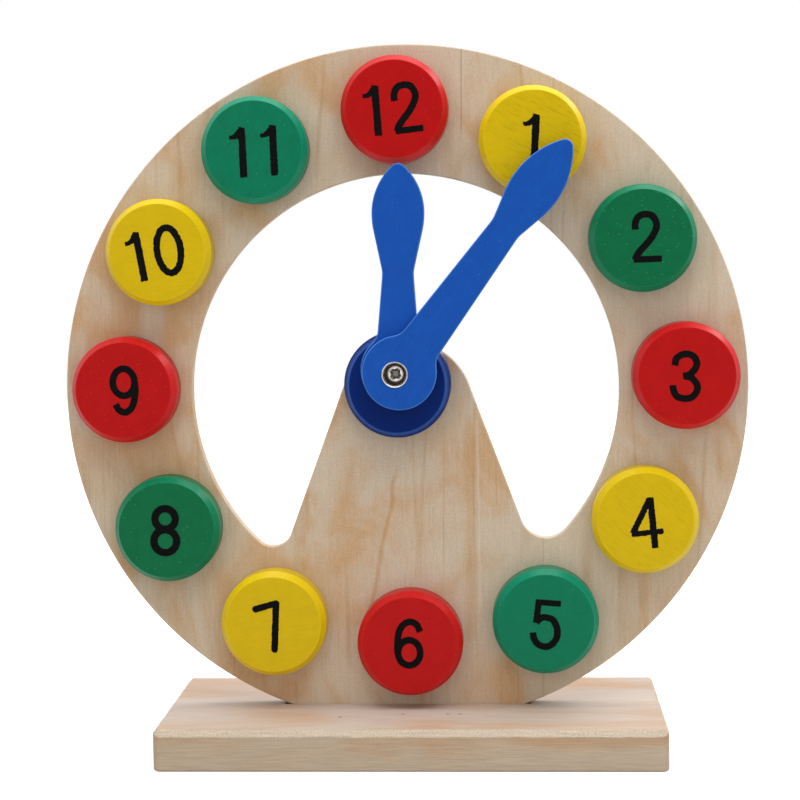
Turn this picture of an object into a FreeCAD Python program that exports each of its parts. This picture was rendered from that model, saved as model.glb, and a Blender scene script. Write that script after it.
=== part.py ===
import FreeCAD, Part
import math
import os

# A teaching clock: a flat wooden ring with a tapering pillar stands in a board's groove.
# Twelve turned number discs and a hub disc are glued on it, and two hands turn on a plated cup.
# Millimetres. +Z is up, the dial faces -Y, and the origin is on the table below the ring's centre.

# Base board
base_width = 160.0
base_depth = 78.0
base_height = 13.0
base_offset = 1.8            # the board's middle lies this far to the right of the ring's centre
base_corner_radius = 2.0
long_edge_chamfer = 2.0      # planed along the front and back top edges
end_edge_chamfer = 1.0
underside_chamfer = 0.5

# Face panel: the ring, its opening and the pillar
panel_thickness = 5.0
ring_radius = 110.0
opening_radius = 69.0
ring_sink = 7.0              # the ring's circle would reach this far below the board's top
foot_cut = 1.0               # and is cut flat this far above its lowest point
pillar_top_radius = 21.4
pillar_top_drop = 6.0        # the pillar's round top is centred this far below the ring's centre
pillar_offset = 0.5
pillar_slope = 20.5          # each flank leans out from the vertical by this many degrees
left_lobe_radius = 6.5       # rounding of the opening's two lower corners
right_lobe_radius = 8.5
groove_clearance = 0.1       # on each face of the panel
groove_left_gap = 1.9        # from the panel's foot, at the board's top, to the groove's end
groove_right_gap = 0.4

# Number discs and hub disc
disc_radius = 17.0
disc_thickness = 10.0
disc_bevel_width = 1.0
disc_bevel_depth = 0.6
disc_pitch_inset = 1.0        # the discs' circle lies this far inside the middle of the ring's band
dial_offset_x = -0.8         # the circle of discs is centred here from the ring's centre
dial_offset_z = 2.0
dial_turn = -0.9             # degrees clockwise
sixth_disc_gap = 4.5         # this disc is set clear of the board
hub_offset_x = -1.9
hub_offset_z = 2.0

# How far each glued disc sits to the right of its place and above it
disc_strays = {
    1: (-0.5, -0.5), 2: (1.0, 0.0), 3: (2.0, 0.5), 4: (0.0, -1.0), 5: (0.0, -0.5), 6: (0.5, 0.0),
    7: (1.0, 0.5), 8: (0.0, -0.5), 9: (-0.3, 0.5), 10: (0.5, 0.0), 11: (0.0, -1.0), 12: (0.5, -1.5),
}

# Hands
hand_thickness = 3.0
hand_edge_chamfer = 0.5      # along the front edges
hand_end_radius = 11.8
hand_shoulder_radius = 6.0   # hollow rounding between the round end and the shaft
hand_neck_half = 4.9
hand_neck_round = 10.0
hand_belly_radius = 26.0     # side of the leaf below its widest place
hand_tip_radius = 2.6
hole_back = 1.3              # the hole lies this far behind the round end's centre
hole_off = 0.8               # and this far to the left of the hand's middle line
hour_length = 64.9           # from the round end's centre to the tip
hour_widest_at = 49.3
hour_widest_half = 8.3
hour_neck_at = 30.8
hour_root_half = 7.3
hour_angle = 0.8             # degrees clockwise from the vertical
minute_length = 89.7
minute_widest_at = 71.7
minute_widest_half = 7.9
minute_neck_at = 56.2
minute_root_half = 7.2
minute_angle = 37.0

# Pivot: cup, screw and washer
pivot_offset_x = -2.2        # from the ring's centre
pivot_offset_z = 5.7
cup_barrel_radius = 3.8
cup_wall = 0.35
cup_floor = 0.4
cup_rim_radius = 4.15
cup_rim_thickness = 0.3
hand_bore_clearance = 0.05   # all round between a hand and the cup
hand_face_clearance = 0.05   # between a hand's face and what it runs against
washer_radius = 6.0
washer_thickness = 0.3
washer_bore_clearance = 0.1
screw_head_radius = 2.75
screw_head_height = 1.9
screw_shank_radius = 1.5
screw_length = 8.0           # under the head
screw_edge_chamfer = 0.3     # round the head's front and the shank's end
screw_floor_clearance = 0.2
screw_pilot_clearance = 0.05
screw_end_clearance = 0.3

# Places that follow from the sizes
groove_depth = ring_sink - foot_cut
groove_floor = base_height - groove_depth
ring_centre_z = base_height - ring_sink + ring_radius
disc_pitch_radius = (ring_radius + opening_radius) / 2.0 - disc_pitch_inset
sixth_disc_z = base_height + sixth_disc_gap + disc_radius
panel_front = -panel_thickness / 2.0
panel_back = panel_thickness / 2.0
disc_front = panel_front - disc_thickness
hour_back = disc_front - hand_face_clearance
hour_front = hour_back - hand_thickness
washer_back = hour_front - hand_face_clearance
minute_back = washer_back - washer_thickness - hand_face_clearance
minute_front = minute_back - hand_thickness
cup_rim_back = minute_front - hand_face_clearance
cup_front = cup_rim_back - cup_rim_thickness
screw_seat = disc_front - cup_floor
screw_end = screw_seat + screw_length
pivot = FreeCAD.Vector(pivot_offset_x, 0.0, ring_centre_z + pivot_offset_z)


def at(across, up, y=0.0):
    return FreeCAD.Vector(across, y, up)


def extruded(segments, back, front):
    """Solid between two planes of constant Y; each segment has 2 points for a line or 3 for an arc."""
    edges = []
    for points in segments:
        ends = [at(across, up, back) for across, up in points]
        curve = Part.LineSegment(*ends) if len(ends) == 2 else Part.Arc(*ends)
        edges.append(curve.toShape())
    return Part.Face(Part.Wire(edges)).extrude(FreeCAD.Vector(0.0, front - back, 0.0))


def polygon(points):
    return list(zip(points, points[1:] + points[:1]))


def turned(profile):
    """Solid of revolution about the Y axis from (radius, y) points."""
    corners = [FreeCAD.Vector(radius, y, 0.0) for radius, y in profile]
    face = Part.Face(Part.makePolygon(corners + corners[:1]))
    return face.revolve(FreeCAD.Vector(), FreeCAD.Vector(0.0, 1.0, 0.0), 360.0)


def rod(radius, back, front, place):
    return Part.makeCylinder(radius, back - front, at(place.x, place.z, front), FreeCAD.Vector(0.0, 1.0, 0.0))


def outline_edges(solid, plane):
    """Edges that lie in a plane of constant Y."""
    return [e for e in solid.Edges if max(abs(e.BoundBox.YMin - plane), abs(e.BoundBox.YMax - plane)) < 1e-6]


def moved(solid, place):
    return solid.translated(FreeCAD.Vector(place.x, 0.0, place.z))


def arc_middle(centre, start, end):
    """Point halfway along the arc of under half a turn from start to end about centre."""
    lean_x = (start[0] + end[0]) / 2.0 - centre[0]
    lean_z = (start[1] + end[1]) / 2.0 - centre[1]
    radius = math.dist(centre, start)
    scale = radius / math.hypot(lean_x, lean_z)
    return (centre[0] + lean_x * scale, centre[1] + lean_z * scale)


def base_board():
    left = base_offset - base_width / 2.0
    right = base_offset + base_width / 2.0
    back = base_depth / 2.0
    end, long, under = end_edge_chamfer, long_edge_chamfer, underside_chamfer

    # The board is what three outlines share: seen from the front, from the side and from above.
    front_view = extruded(polygon([
        (left + under, 0.0), (right - under, 0.0), (right, under), (right, base_height - end),
        (right - end, base_height), (left + end, base_height), (left, base_height - end), (left, under),
    ]), back, -back)
    side_points = [
        (-back + under, 0.0), (back - under, 0.0), (back, under), (back, base_height - long),
        (back - long, base_height), (-back + long, base_height), (-back, base_height - long), (-back, under),
    ]
    side_corners = [FreeCAD.Vector(left, y, z) for y, z in side_points]
    side_face = Part.Face(Part.makePolygon(side_corners + side_corners[:1]))
    side_view = side_face.extrude(FreeCAD.Vector(base_width, 0.0, 0.0))
    plan_view = Part.makeBox(base_width, base_depth, base_height, FreeCAD.Vector(left, -back, 0.0))
    upright = [e for e in plan_view.Edges if e.BoundBox.ZLength > base_height / 2.0]
    plan_view = plan_view.makeFillet(base_corner_radius, upright)
    board = front_view.common(side_view).common(plan_view)

    # Blind groove with square ends, a little longer than the panel's foot
    groove_half = panel_thickness / 2.0 + groove_clearance
    foot_half = math.sqrt(ring_radius ** 2 - (ring_radius - ring_sink) ** 2)
    groove_left = foot_half + groove_left_gap
    groove_length = groove_left + foot_half + groove_right_gap
    groove = Part.makeBox(groove_length, 2.0 * groove_half, groove_depth,
                          FreeCAD.Vector(-groove_left, -groove_half, groove_floor))
    return board.cut(groove)


def is_lobe_corner(box, side):
    """Whether an edge runs straight through the panel where a flank meets the opening's circle."""
    straight = box.XLength < 1e-6 and box.ZLength < 1e-6
    on_circle = math.hypot(box.XMin, box.ZMin - ring_centre_z) > opening_radius - 1e-3
    return straight and on_circle and box.ZMin < ring_centre_z and box.XMin * side > 0.0


def panel_opening():
    """Horseshoe over the pillar, cut through the ring."""
    through = 1.0
    back, front = panel_back + through, panel_front - through
    lean = math.radians(pillar_slope)
    top_x, top_z = pillar_offset, ring_centre_z - pillar_top_drop
    run = 2.0 * opening_radius
    left_touch = (top_x - pillar_top_radius * math.cos(lean), top_z + pillar_top_radius * math.sin(lean))
    right_touch = (top_x + pillar_top_radius * math.cos(lean), top_z + pillar_top_radius * math.sin(lean))
    left_foot = (left_touch[0] - run * math.sin(lean), left_touch[1] - run * math.cos(lean))
    right_foot = (right_touch[0] + run * math.sin(lean), right_touch[1] - run * math.cos(lean))
    pillar = extruded([
        (left_touch, (top_x, top_z + pillar_top_radius), right_touch),
        (right_touch, right_foot),
        (right_foot, left_foot),
        (left_foot, left_touch),
    ], back, front)
    opening = rod(opening_radius, back, front, at(0.0, ring_centre_z)).cut(pillar)
    for side, radius in ((-1.0, left_lobe_radius), (1.0, right_lobe_radius)):
        corners = [e for e in opening.Edges if is_lobe_corner(e.BoundBox, side)]
        opening = opening.makeFillet(radius, corners)
    return opening


def face_panel():
    ring = rod(ring_radius, panel_back, panel_front, at(0.0, ring_centre_z))
    below = Part.makeBox(2.0 * ring_radius, 2.0 * panel_thickness, groove_floor,
                         FreeCAD.Vector(-ring_radius, -panel_thickness, 0.0))
    return ring.cut(below).cut(panel_opening())


def disc(place):
    flat = disc_radius - disc_bevel_width
    crest = disc_front + disc_bevel_depth
    profile = [(0.0, panel_front), (disc_radius, panel_front), (disc_radius, crest), (flat, disc_front),
               (0.0, disc_front)]
    return moved(turned(profile), place)


def number_disc(number):
    bearing = math.radians(30.0 * number + dial_turn)
    right, up = disc_strays[number]
    x = dial_offset_x + disc_pitch_radius * math.sin(bearing) + right
    z = ring_centre_z + dial_offset_z + disc_pitch_radius * math.cos(bearing)
    if number == 6:
        z = sixth_disc_z
    return disc(at(x, z + up))


def hub_disc():
    pilot_radius = screw_shank_radius + screw_pilot_clearance
    pilot = rod(pilot_radius, screw_end + screw_end_clearance, disc_front - 1.0, pivot)
    return disc(at(hub_offset_x, ring_centre_z + hub_offset_z)).cut(pilot)


def hand_side(length, widest_at, widest_half, neck_at, root_half):
    """Right side of a hand from its round end to its tip, about the round end's centre."""
    # Shaft side, and the hollow shoulder that touches it and the round end
    shaft_run = math.hypot(neck_at, root_half - hand_neck_half)
    along = ((hand_neck_half - root_half) / shaft_run, neck_at / shaft_run)
    outward = (along[1], -along[0])
    offset = root_half * outward[0] + hand_shoulder_radius
    reach = hand_end_radius + hand_shoulder_radius
    forward = math.sqrt(reach ** 2 - offset ** 2)
    shoulder = (offset * outward[0] + forward * along[0], offset * outward[1] + forward * along[1])
    end_touch = (shoulder[0] * hand_end_radius / reach, shoulder[1] * hand_end_radius / reach)
    shaft_touch = (shoulder[0] - hand_shoulder_radius * outward[0],
                   shoulder[1] - hand_shoulder_radius * outward[1])

    # Straight from the neck to where it touches the leaf's lower side
    neck = (hand_neck_half, neck_at)
    belly = (widest_half - hand_belly_radius, widest_at)
    away = math.dist(neck, belly)
    bearing = math.atan2(belly[1] - neck[1], belly[0] - neck[0]) - math.asin(hand_belly_radius / away)
    straight = math.sqrt(away ** 2 - hand_belly_radius ** 2)
    belly_touch = (neck[0] + straight * math.cos(bearing), neck[1] + straight * math.sin(bearing))

    # Rounded neck between the two straights
    shaft_bearing = math.atan2(along[1], along[0])
    turn = shaft_bearing - bearing
    cut_back = hand_neck_round * math.tan(turn / 2.0)
    neck_start = (neck[0] - cut_back * along[0], neck[1] - cut_back * along[1])
    neck_end = (neck[0] + cut_back * math.cos(bearing), neck[1] + cut_back * math.sin(bearing))
    neck_centre = (neck_start[0] + hand_neck_round * outward[0], neck_start[1] + hand_neck_round * outward[1])

    # Upper side of the leaf, which touches the tip's round from inside
    tip = (0.0, length - hand_tip_radius)
    rise = tip[1] - widest_at
    narrowing = widest_half - hand_tip_radius
    crown_radius = (widest_half ** 2 + rise ** 2 - hand_tip_radius ** 2) / (2.0 * narrowing)
    crown = (widest_half - crown_radius, widest_at)
    grow = crown_radius / (crown_radius - hand_tip_radius)
    tip_touch = (crown[0] + (tip[0] - crown[0]) * grow, crown[1] + (tip[1] - crown[1]) * grow)

    widest = (widest_half, widest_at)
    return [
        (end_touch, arc_middle(shoulder, end_touch, shaft_touch), shaft_touch),
        (shaft_touch, neck_start),
        (neck_start, arc_middle(neck_centre, neck_start, neck_end), neck_end),
        (neck_end, belly_touch),
        (belly_touch, arc_middle(belly, belly_touch, widest), widest),
        (widest, arc_middle(crown, widest, tip_touch), tip_touch),
    ]


def hand(back, angle, length, widest_at, widest_half, neck_at, root_half):
    right = hand_side(length, widest_at, widest_half, neck_at, root_half)
    left = [tuple((-across, up) for across, up in reversed(points)) for points in reversed(right)]
    tip_arc = (right[-1][-1], (0.0, length), left[0][0])
    end_arc = (left[-1][-1], (0.0, -hand_end_radius), right[0][0])
    front = back - hand_thickness
    blank = extruded(right + [tip_arc] + left + [end_arc], back, front)
    blank = blank.makeChamfer(hand_edge_chamfer, outline_edges(blank, front))
    bore = rod(cup_barrel_radius + hand_bore_clearance, back + 1.0, front - 1.0, at(-hole_off, -hole_back))
    drilled = blank.cut(bore).translated(FreeCAD.Vector(hole_off, 0.0, hole_back))
    drilled.rotate(FreeCAD.Vector(), FreeCAD.Vector(0.0, 1.0, 0.0), angle)
    return moved(drilled, pivot)


def hour_hand():
    return hand(hour_back, hour_angle, hour_length, hour_widest_at, hour_widest_half,
                hour_neck_at, hour_root_half)


def minute_hand():
    return hand(minute_back, minute_angle, minute_length, minute_widest_at, minute_widest_half,
                minute_neck_at, minute_root_half)


def pivot_cup():
    inner = cup_barrel_radius - cup_wall
    hole = screw_shank_radius + screw_floor_clearance
    profile = [(hole, disc_front), (cup_barrel_radius, disc_front), (cup_barrel_radius, cup_rim_back),
               (cup_rim_radius, cup_rim_back), (cup_rim_radius, cup_front), (inner, cup_front),
               (inner, screw_seat), (hole, screw_seat)]
    return moved(turned(profile), pivot)


def hand_washer():
    bore = cup_barrel_radius + washer_bore_clearance
    front = washer_back - washer_thickness
    profile = [(bore, washer_back), (washer_radius, washer_back), (washer_radius, front), (bore, front)]
    return moved(turned(profile), pivot)


def pivot_screw():
    head_front = screw_seat - screw_head_height
    edge = screw_edge_chamfer
    profile = [(0.0, screw_end), (screw_shank_radius - edge, screw_end),
               (screw_shank_radius, screw_end - edge), (screw_shank_radius, screw_seat),
               (screw_head_radius, screw_seat), (screw_head_radius, head_front + edge),
               (screw_head_radius - edge, head_front), (0.0, head_front)]
    return moved(turned(profile), pivot)


def build():
    pieces = {
        "base_board": base_board(),
        "face_panel": face_panel(),
        "hub_disc": hub_disc(),
        "hour_hand": hour_hand(),
        "minute_hand": minute_hand(),
        "pivot_cup": pivot_cup(),
        "pivot_screw": pivot_screw(),
        "hand_washer": hand_washer(),
    }
    for number in range(1, 13):
        pieces["number_disc_%02d" % number] = number_disc(number)
    os.makedirs("parts", exist_ok=True)
    for name, shape in pieces.items():
        shape.exportStep("parts/" + name + ".step")
        state = "valid" if shape.isValid() else "INVALID"
        print(name, state, len(shape.Solids), "solid", round(shape.Volume), "mm3")


build()
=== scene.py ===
import math
import bmesh
import bpy
import numpy as np
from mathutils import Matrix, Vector, geometry, noise


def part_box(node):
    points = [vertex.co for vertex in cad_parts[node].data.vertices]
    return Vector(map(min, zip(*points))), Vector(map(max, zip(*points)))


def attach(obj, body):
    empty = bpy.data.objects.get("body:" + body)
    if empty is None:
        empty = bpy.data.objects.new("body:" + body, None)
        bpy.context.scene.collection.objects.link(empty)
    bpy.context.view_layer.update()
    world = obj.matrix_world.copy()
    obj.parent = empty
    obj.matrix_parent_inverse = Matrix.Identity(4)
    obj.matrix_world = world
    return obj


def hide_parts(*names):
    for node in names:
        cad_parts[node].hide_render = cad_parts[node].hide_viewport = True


# Wooden teaching clock with painted number discs. Sizes in the dictionaries are millimetres.
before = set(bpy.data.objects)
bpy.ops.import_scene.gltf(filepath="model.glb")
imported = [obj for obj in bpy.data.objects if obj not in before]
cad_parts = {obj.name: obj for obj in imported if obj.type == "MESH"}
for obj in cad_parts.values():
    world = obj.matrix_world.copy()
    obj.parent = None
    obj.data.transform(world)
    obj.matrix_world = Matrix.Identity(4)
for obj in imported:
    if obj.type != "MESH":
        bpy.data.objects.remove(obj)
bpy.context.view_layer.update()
mm = 0.001
crease = math.radians(35)  # a sharper corner than this breaks the smooth shading
scene = bpy.context.scene


def linear(hexColour):
    parts = [int(hexColour[i:i + 2], 16) / 255 for i in (0, 2, 4)]
    return [c / 12.92 if c <= 0.04045 else ((c + 0.055) / 1.055) ** 2.4 for c in parts] + [1.0]


def addNode(tree, kind, settings=None, links=None):
    # kind may end in a mode; a setting is a property of the node if it has one of that name, and
    # otherwise a socket, whose colour may be given as hex; a linked node stands for its first live output
    kind, _, mode = kind.partition(":")
    node = tree.nodes.new("ShaderNode" + kind)
    if mode:
        setattr(node, "data_type" if kind == "Mix" else "operation", mode)
    for name, value in (settings or {}).items():
        if isinstance(name, str) and hasattr(node, name):
            setattr(node, name, value)
        else:
            node.inputs[name].default_value = linear(value) if isinstance(value, str) else value
    for name, source in (links or {}).items():
        live = [output for output in getattr(source, "outputs", [source]) if output.enabled]
        tree.links.new(live[0], node.inputs[name])
    return node


def emptyMaterial(name):
    material = bpy.data.materials.new(name)
    material.use_nodes = True
    material.node_tree.nodes.clear()
    return material, material.node_tree


def fillRamp(ramp, stops):
    elements = ramp.color_ramp.elements
    while len(elements) < len(stops):
        elements.new(0.5)
    for element, (place, colour) in zip(elements, stops):
        element.position = place
        element.color = colour


# Camera, at the photograph's place and angle
cameraLook = {
    "place": (33.46, -644.53, 163.01),
    "turn": (85.503, 0.794, 3.056),  # degrees about X, Y and Z
    "lens": 90.0,
    "sensor": 36.0,
}
cameraData = bpy.data.cameras.new("camera")
cameraData.lens = cameraLook["lens"]
cameraData.sensor_width = cameraLook["sensor"]
camera = bpy.data.objects.new("camera", cameraData)
camera.location = Vector(cameraLook["place"]) * mm
camera.rotation_euler = [math.radians(a) for a in cameraLook["turn"]]
scene.collection.objects.link(camera)
scene.camera = camera
print("camera set")


def finishPiece(piece, material, body, slot, *nodes):
    piece.data.materials.append(material)
    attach(piece, body)
    if nodes:
        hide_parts(*nodes)
    return piece


def measure(node):
    # a CAD node's middle across and up, half width, back and front, in millimetres
    low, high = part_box(node)
    middle = ((low.x + high.x) / 2 / mm, (low.z + high.z) / 2 / mm)
    return middle, (high.x - low.x) / 2 / mm, high.y / mm, low.y / mm


def meshPiece(name, bm):
    # turns a bmesh into a piece with smooth faces that break at its corners
    bmesh.ops.recalc_face_normals(bm, faces=bm.faces)
    mesh = bpy.data.meshes.new(name)
    bm.to_mesh(mesh)
    bm.free()
    mesh.shade_smooth()
    mesh.set_sharp_from_angle(angle=crease)
    piece = bpy.data.objects.new(name, mesh)
    scene.collection.objects.link(piece)
    piece.modifiers.new("flat faces stay flat", "WEIGHTED_NORMAL").keep_sharp = True
    return piece


# Base board: planed from a stick, its top edges chamfered with a plane that chattered a little
low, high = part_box("base_board")
board = {
    "left": low.x / mm, "right": high.x / mm, "front": low.y / mm, "back": high.y / mm, "top": high.z / mm,
    "corner": 2.4,
    "longChamfer": 2.0, "endChamfer": 1.0,
    "wave": 0.22,  # how far the chamfer's edges wander
    "chatter": 0.07,  # tear-out on the chamfer
    "step": 1.1,  # between points along the edges
    "groove": (-40.5, 39.7, 2.6, 6.0),  # left and right ends, half width, depth
    "ease": 0.15,  # rounding of the groove's mouth
}


# Bare wood, sanded: matt, with soft warm clouds on a pale ground, faint growth lines, fine fibres
# along the grain and small flecks. The fibres are 0.1 mm in the real wood and drawn coarser to show.
birchVeneer = {
    "name": "sandedBirchVeneer",
    "grain": (1.0, 1.0, 0.06),  # share of the pattern's scale on each axis: the grain is upright
    "clouds": (1.0, 1.0, 0.62),
    "pale": "CCBBA5", "warm": "C6A27C", "vein": "B0885A", "planed": "CEBBA7",
    "cloudSize": 22.0, "cloudFrom": 0.42, "cloudTo": 0.68,
    "warmerLeft": 0.7,  # how fast the clouds gather towards the left, per metre
    "veinSize": 17.0, "veins": 6.0, "veinStrength": 0.4,
    "fibreSize": 0.45, "fibre": 0.30, "fleckSize": 0.6, "fleck": 0.34,
    "roughness": 0.62, "fibreDepth": 0.04, "sides": "FFFFFF", "pits": [],
    # lines of their own: a veneer joint, a pale seam with a warm streak beside it, and a brown streak that
    # wanders down the pillar. Each is x, z, slope, half width, low end, high end, wander, colour, strength.
    "seams": [
        (19.3, 208, 0.01, 0.16, 194, 230, 0.15, "80634A", 0.55),
        (23.4, 75, 0.0, 0.35, 40, 108, 0.9, "D6CBBE", 0.4),
        (20.6, 75, 0.0, 1.5, 30, 110, 1.2, "BE9260", 0.45),
        (-9.0, 60, 0.2, 0.6, 26, 92, 2.4, "B9854F", 0.5),
    ],
}
beechStick = {
    "name": "planedBeech",
    "grain": (0.035, 1.0, 1.0),
    "clouds": (0.3, 1.0, 1.0),
    "pale": "C4B4A7", "warm": "C09F82", "vein": "B0947A", "planed": "C1B19F",
    "cloudSize": 30.0, "cloudFrom": 0.40, "cloudTo": 0.70, "warmerLeft": 0.3,
    "veinSize": 12.0, "veins": 5.0, "veinStrength": 0.3,
    "fibreSize": 0.42, "fibre": 0.62, "fleckSize": 0.5, "fleck": 0.25,
    "roughness": 0.6, "fibreDepth": 0.05,
    "sides": "F7F4E7",  # painted shade: faces that do not look up are tinted a little yellower and darker than the top
    "pits": [(-21.0, -20.7), (-1.2, -16.8), (13.2, -16.8), (17.0, -16.8)],  # small dark pits in the face
    "seams": [],
}

woodFigure = {  # what both woods share
    "cloudTwist": 0.9, "veinTwist": 0.25, "veinWidth": 0.12, "fadeSize": 20.0,
    "seamWave": 22.0, "seamFade": 6.0,
    "tornSize": 0.45, "torn": (0.8, 1.24),  # torn fibres on a planed edge: size, and how dark and bright
    # a pit is full within the first distance from its middle and gone beyond the second, with a ragged edge
    "pitRange": (0.9, 1.35), "pitRag": 1.0, "ragSize": 0.5, "pitColour": "4E3A2C", "pitStrength": 0.7,
    "planedRelief": 6.0, "sandedRelief": 0.4,
}


def woodMaterial(look):
    material, tree = emptyMaterial(look["name"])
    place = addNode(tree, "TexCoord").outputs["Object"]
    grain = addNode(tree, "Mapping", {"Scale": look["grain"]}, {"Vector": place})
    cloudPlace = addNode(tree, "Mapping", {"Scale": look["clouds"]}, {"Vector": place})
    planed = addNode(tree, "Attribute", {"attribute_name": "planed"}).outputs["Fac"]

    cloud = addNode(tree, "TexNoise", {"Scale": 1 / (look["cloudSize"] * mm), "Detail": 4.0,
        "Distortion": woodFigure["cloudTwist"]}, {"Vector": cloudPlace})
    axes = addNode(tree, "SeparateXYZ", None, {0: place})
    leaning = addNode(tree, "Math:MULTIPLY_ADD", {1: -look["warmerLeft"]}, {0: axes, 2: cloud})
    warmth = addNode(tree, "MapRange", {"interpolation_type": "SMOOTHSTEP", "From Min": look["cloudFrom"],
        "From Max": look["cloudTo"]}, {"Value": leaning})
    colour = addNode(tree, "Mix:RGBA", {6: look["pale"], 7: look["warm"]}, {0: warmth})

    # growth lines, where a broad pattern passes evenly spaced levels; they fade in and out
    broad = addNode(tree, "TexNoise", {"Scale": 1 / (look["veinSize"] * mm), "Detail": 1.5,
        "Distortion": woodFigure["veinTwist"]}, {"Vector": grain})
    levels = addNode(tree, "Math:MULTIPLY", {1: look["veins"]}, {0: broad})
    fold = addNode(tree, "Math:PINGPONG", {1: 0.5}, {0: levels})
    line = addNode(tree, "MapRange", {"interpolation_type": "SMOOTHSTEP",
        "From Max": woodFigure["veinWidth"], "To Min": 1.0, "To Max": 0.0}, {"Value": fold})
    fade = addNode(tree, "TexNoise", {"Scale": 1 / (woodFigure["fadeSize"] * mm), "Detail": 1.0},
        {"Vector": cloudPlace})
    fadeRange = addNode(tree, "MapRange", {"From Min": 0.42, "From Max": 0.62,
        "To Max": look["veinStrength"]}, {"Value": fade})
    vein = addNode(tree, "Math:MULTIPLY", None, {0: line, 1: fadeRange})
    colour = addNode(tree, "Mix:RGBA", {7: look["vein"]}, {0: vein, 6: colour})

    for x, z, slope, half, low, high, wander, tint, strength in look["seams"]:
        wave = addNode(tree, "TexNoise",
            {"noise_dimensions": "1D", "Scale": 1 / (woodFigure["seamWave"] * mm)}, {"W": axes.outputs[2]})
        lean = addNode(tree, "Math:MULTIPLY_ADD", {1: -slope, 2: (slope * z - x - wander) * mm},
            {0: axes.outputs[2]})
        offset = addNode(tree, "Math:ADD", None, {0: axes, 1: lean})
        wavy = addNode(tree, "Math:MULTIPLY_ADD", {1: 2 * wander * mm}, {0: wave, 2: offset})
        gap = addNode(tree, "Math:ABSOLUTE", None, {0: wavy})
        across = addNode(tree, "MapRange", {"interpolation_type": "SMOOTHSTEP", "From Max": 2 * half * mm,
            "To Min": strength, "To Max": 0.0}, {"Value": gap})
        lower = addNode(tree, "MapRange", {"From Min": low * mm,
            "From Max": (low + woodFigure["seamFade"]) * mm}, {"Value": axes.outputs[2]})
        upper = addNode(tree, "MapRange", {"From Min": (high - woodFigure["seamFade"]) * mm,
            "From Max": high * mm, "To Min": 1.0, "To Max": 0.0}, {"Value": axes.outputs[2]})
        ends = addNode(tree, "Math:MULTIPLY", None, {0: lower, 1: upper})
        both = addNode(tree, "Math:MULTIPLY", None, {0: across, 1: ends})
        colour = addNode(tree, "Mix:RGBA", {7: tint}, {0: both, 6: colour})

    colour = addNode(tree, "Mix:RGBA", {7: look["planed"]}, {0: planed, 6: colour})
    fibre = addNode(tree, "TexNoise", {"Scale": 1 / (look["fibreSize"] * mm), "Detail": 3.0,
        "Roughness": 0.6}, {"Vector": grain})
    fleck = addNode(tree, "TexNoise", {"Scale": 1 / (look["fleckSize"] * mm)}, {"Vector": place})
    shade = addNode(tree, "Math:MULTIPLY_ADD",
        {1: look["fibre"], 2: 1 - (look["fibre"] + look["fleck"]) / 2}, {0: fibre})
    shade = addNode(tree, "Math:MULTIPLY_ADD", {1: look["fleck"]}, {0: fleck, 2: shade})
    colour = addNode(tree, "Mix:RGBA", {"blend_type": "MULTIPLY", 0: 1.0}, {6: colour, 7: shade})
    # painted shade: sides and underside are multiplied by the sides colour, while the top keeps its own
    # colour
    facing = addNode(tree, "SeparateXYZ", None, {0: addNode(tree, "NewGeometry").outputs["Normal"]})
    sideShadeTint = addNode(tree, "Mix:RGBA", {6: look["sides"], 7: (1, 1, 1, 1)}, {0: facing.outputs[2]})
    colour = addNode(tree, "Mix:RGBA", {"blend_type": "MULTIPLY", 0: 1.0}, {6: colour, 7: sideShadeTint})
    ragged = addNode(tree, "TexNoise", {"Scale": 1 / (woodFigure["ragSize"] * mm)}, {"Vector": place})
    for x, y in look["pits"]:
        gap = addNode(tree, "VectorMath:DISTANCE", {1: (x * mm, y * mm, board["top"] * mm)}, {0: place})
        size = addNode(tree, "Math:MULTIPLY_ADD", {1: woodFigure["pitRag"] * mm}, {0: ragged, 2: gap})
        dark = addNode(tree, "MapRange", {"From Min": woodFigure["pitRange"][0] * mm,
            "From Max": woodFigure["pitRange"][1] * mm, "To Min": woodFigure["pitStrength"], "To Max": 0.0},
            {"Value": size})
        colour = addNode(tree, "Mix:RGBA", {7: woodFigure["pitColour"]}, {0: dark, 6: colour})

    rough = addNode(tree, "Math:MULTIPLY_ADD",
        {1: woodFigure["planedRelief"], 2: woodFigure["sandedRelief"]}, {0: planed})
    height = addNode(tree, "Math:MULTIPLY_ADD", None, {0: fleck, 1: rough, 2: fibre})
    # torn fibres on a planed edge catch the light in bright and dark specks
    torn = addNode(tree, "TexNoise", {"Scale": 1 / (woodFigure["tornSize"] * mm), "Detail": 3.0,
        "Roughness": 0.7}, {"Vector": place})
    specks = addNode(tree, "MapRange", {"From Min": 0.3, "From Max": 0.7, "To Min": woodFigure["torn"][0],
        "To Max": woodFigure["torn"][1]}, {"Value": torn})
    colour = addNode(tree, "Mix:RGBA", {"blend_type": "MULTIPLY"}, {0: planed, 6: colour, 7: specks})
    bump = addNode(tree, "Bump", {"Strength": 0.6, "Distance": look["fibreDepth"] * mm}, {"Height": height})
    shader = addNode(tree, "BsdfPrincipled", {"Roughness": look["roughness"], "IOR": 1.5,
        "Specular IOR Level": 0.25}, {"Base Color": colour, "Normal": bump})
    addNode(tree, "OutputMaterial", None, {"Surface": shader})
    return material


paintFilm = {  # millimetres
    "mottleSize": 3.5, "poreSize": 0.55, "dustSpacing": 1.3, "gritSize": 0.5, "relief": 0.03,
    "strokes": 45.0,  # brush strokes across a bevel, in turns of its normal
}


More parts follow.
